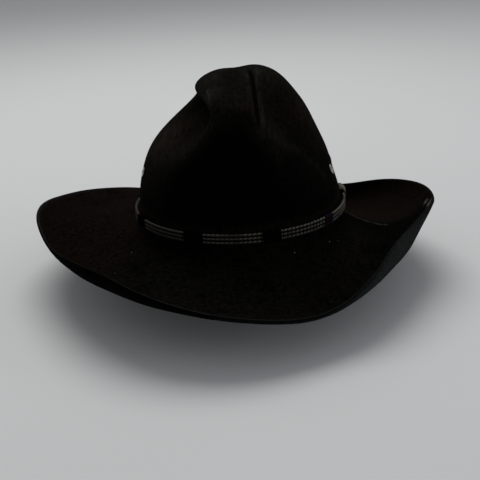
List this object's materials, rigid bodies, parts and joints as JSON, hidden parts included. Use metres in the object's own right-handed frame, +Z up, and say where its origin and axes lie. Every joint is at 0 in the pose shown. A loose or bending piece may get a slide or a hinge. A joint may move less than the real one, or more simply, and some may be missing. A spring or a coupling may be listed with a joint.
{
  "type": "felt western hat",
  "caption": "Creased felt western hat with a rolled brim, leather sweatband, satin lining, vent eyelets and a corded hatband with a sliding knot.",
  "frame": {"origin": "centre of the head opening, level with the line where the crown breaks into the brim", "axes": "+Z up out of the crown's tip, -Y to the front of the hat, +X to the wearer's left"},
  "size_m": [0.3666, 0.3825, 0.1899],
  "materials": {
    "felt": "worn napped fur felt",
    "leather": "smooth, darkened by wear",
    "ribbon": "grosgrain",
    "satin": "satin",
    "clear_film": "clear film",
    "reed_plastic": "plain",
    "nickel": "nickel plate, slightly dulled",
    "horsehair": "twisted hair cord",
    "wrap_thread": "wound waxed thread",
    "cream_thread": "wound soft thread"
  },
  "bodies": {
    "hat": {"felt_body": "felt", "eyelet_left_front": "nickel", "eyelet_right_front": "nickel", "eyelet_left_rear": "nickel", "eyelet_right_rear": "nickel", "eyelet_washer_left_front": "nickel", "eyelet_washer_right_front": "nickel", "eyelet_washer_left_rear": "nickel", "eyelet_washer_right_rear": "nickel", "sweatband": "leather", "sweatband_reed": "reed_plastic", "reed_tape": "ribbon", "sweatband_bow": "ribbon", "lining_side": "satin", "lining_tip": "satin", "lining_shield": "clear_film"},
    "hatband": {"band_strand_lower": "horsehair", "band_strand_middle": "horsehair", "band_strand_upper": "horsehair", "band_wrap_1": "wrap_thread", "band_wrap_2": "wrap_thread", "band_wrap_3": "wrap_thread", "band_wrap_4": "wrap_thread", "band_wrap_5": "wrap_thread", "band_wrap_6": "wrap_thread", "band_wrap_7": "wrap_thread", "band_wrap_8": "wrap_thread", "band_wrap_9": "wrap_thread"},
    "slide_knot": {"band_slide_knot": "cream_thread"}
  },
  "joints": [
    {"name": "hatband_lift", "type": "slide", "parent": "hat", "child": "hatband", "axis": [0, 0, 1], "range_m": [0, 0.16]},
    {"name": "knot_slide", "type": "hinge", "parent": "hatband", "child": "slide_knot", "pos_m": [-0.01758, 0.00054, 0.014], "axis": [0, 0.0287, 0.9996], "range_deg": [-1, 20]}
  ]
}
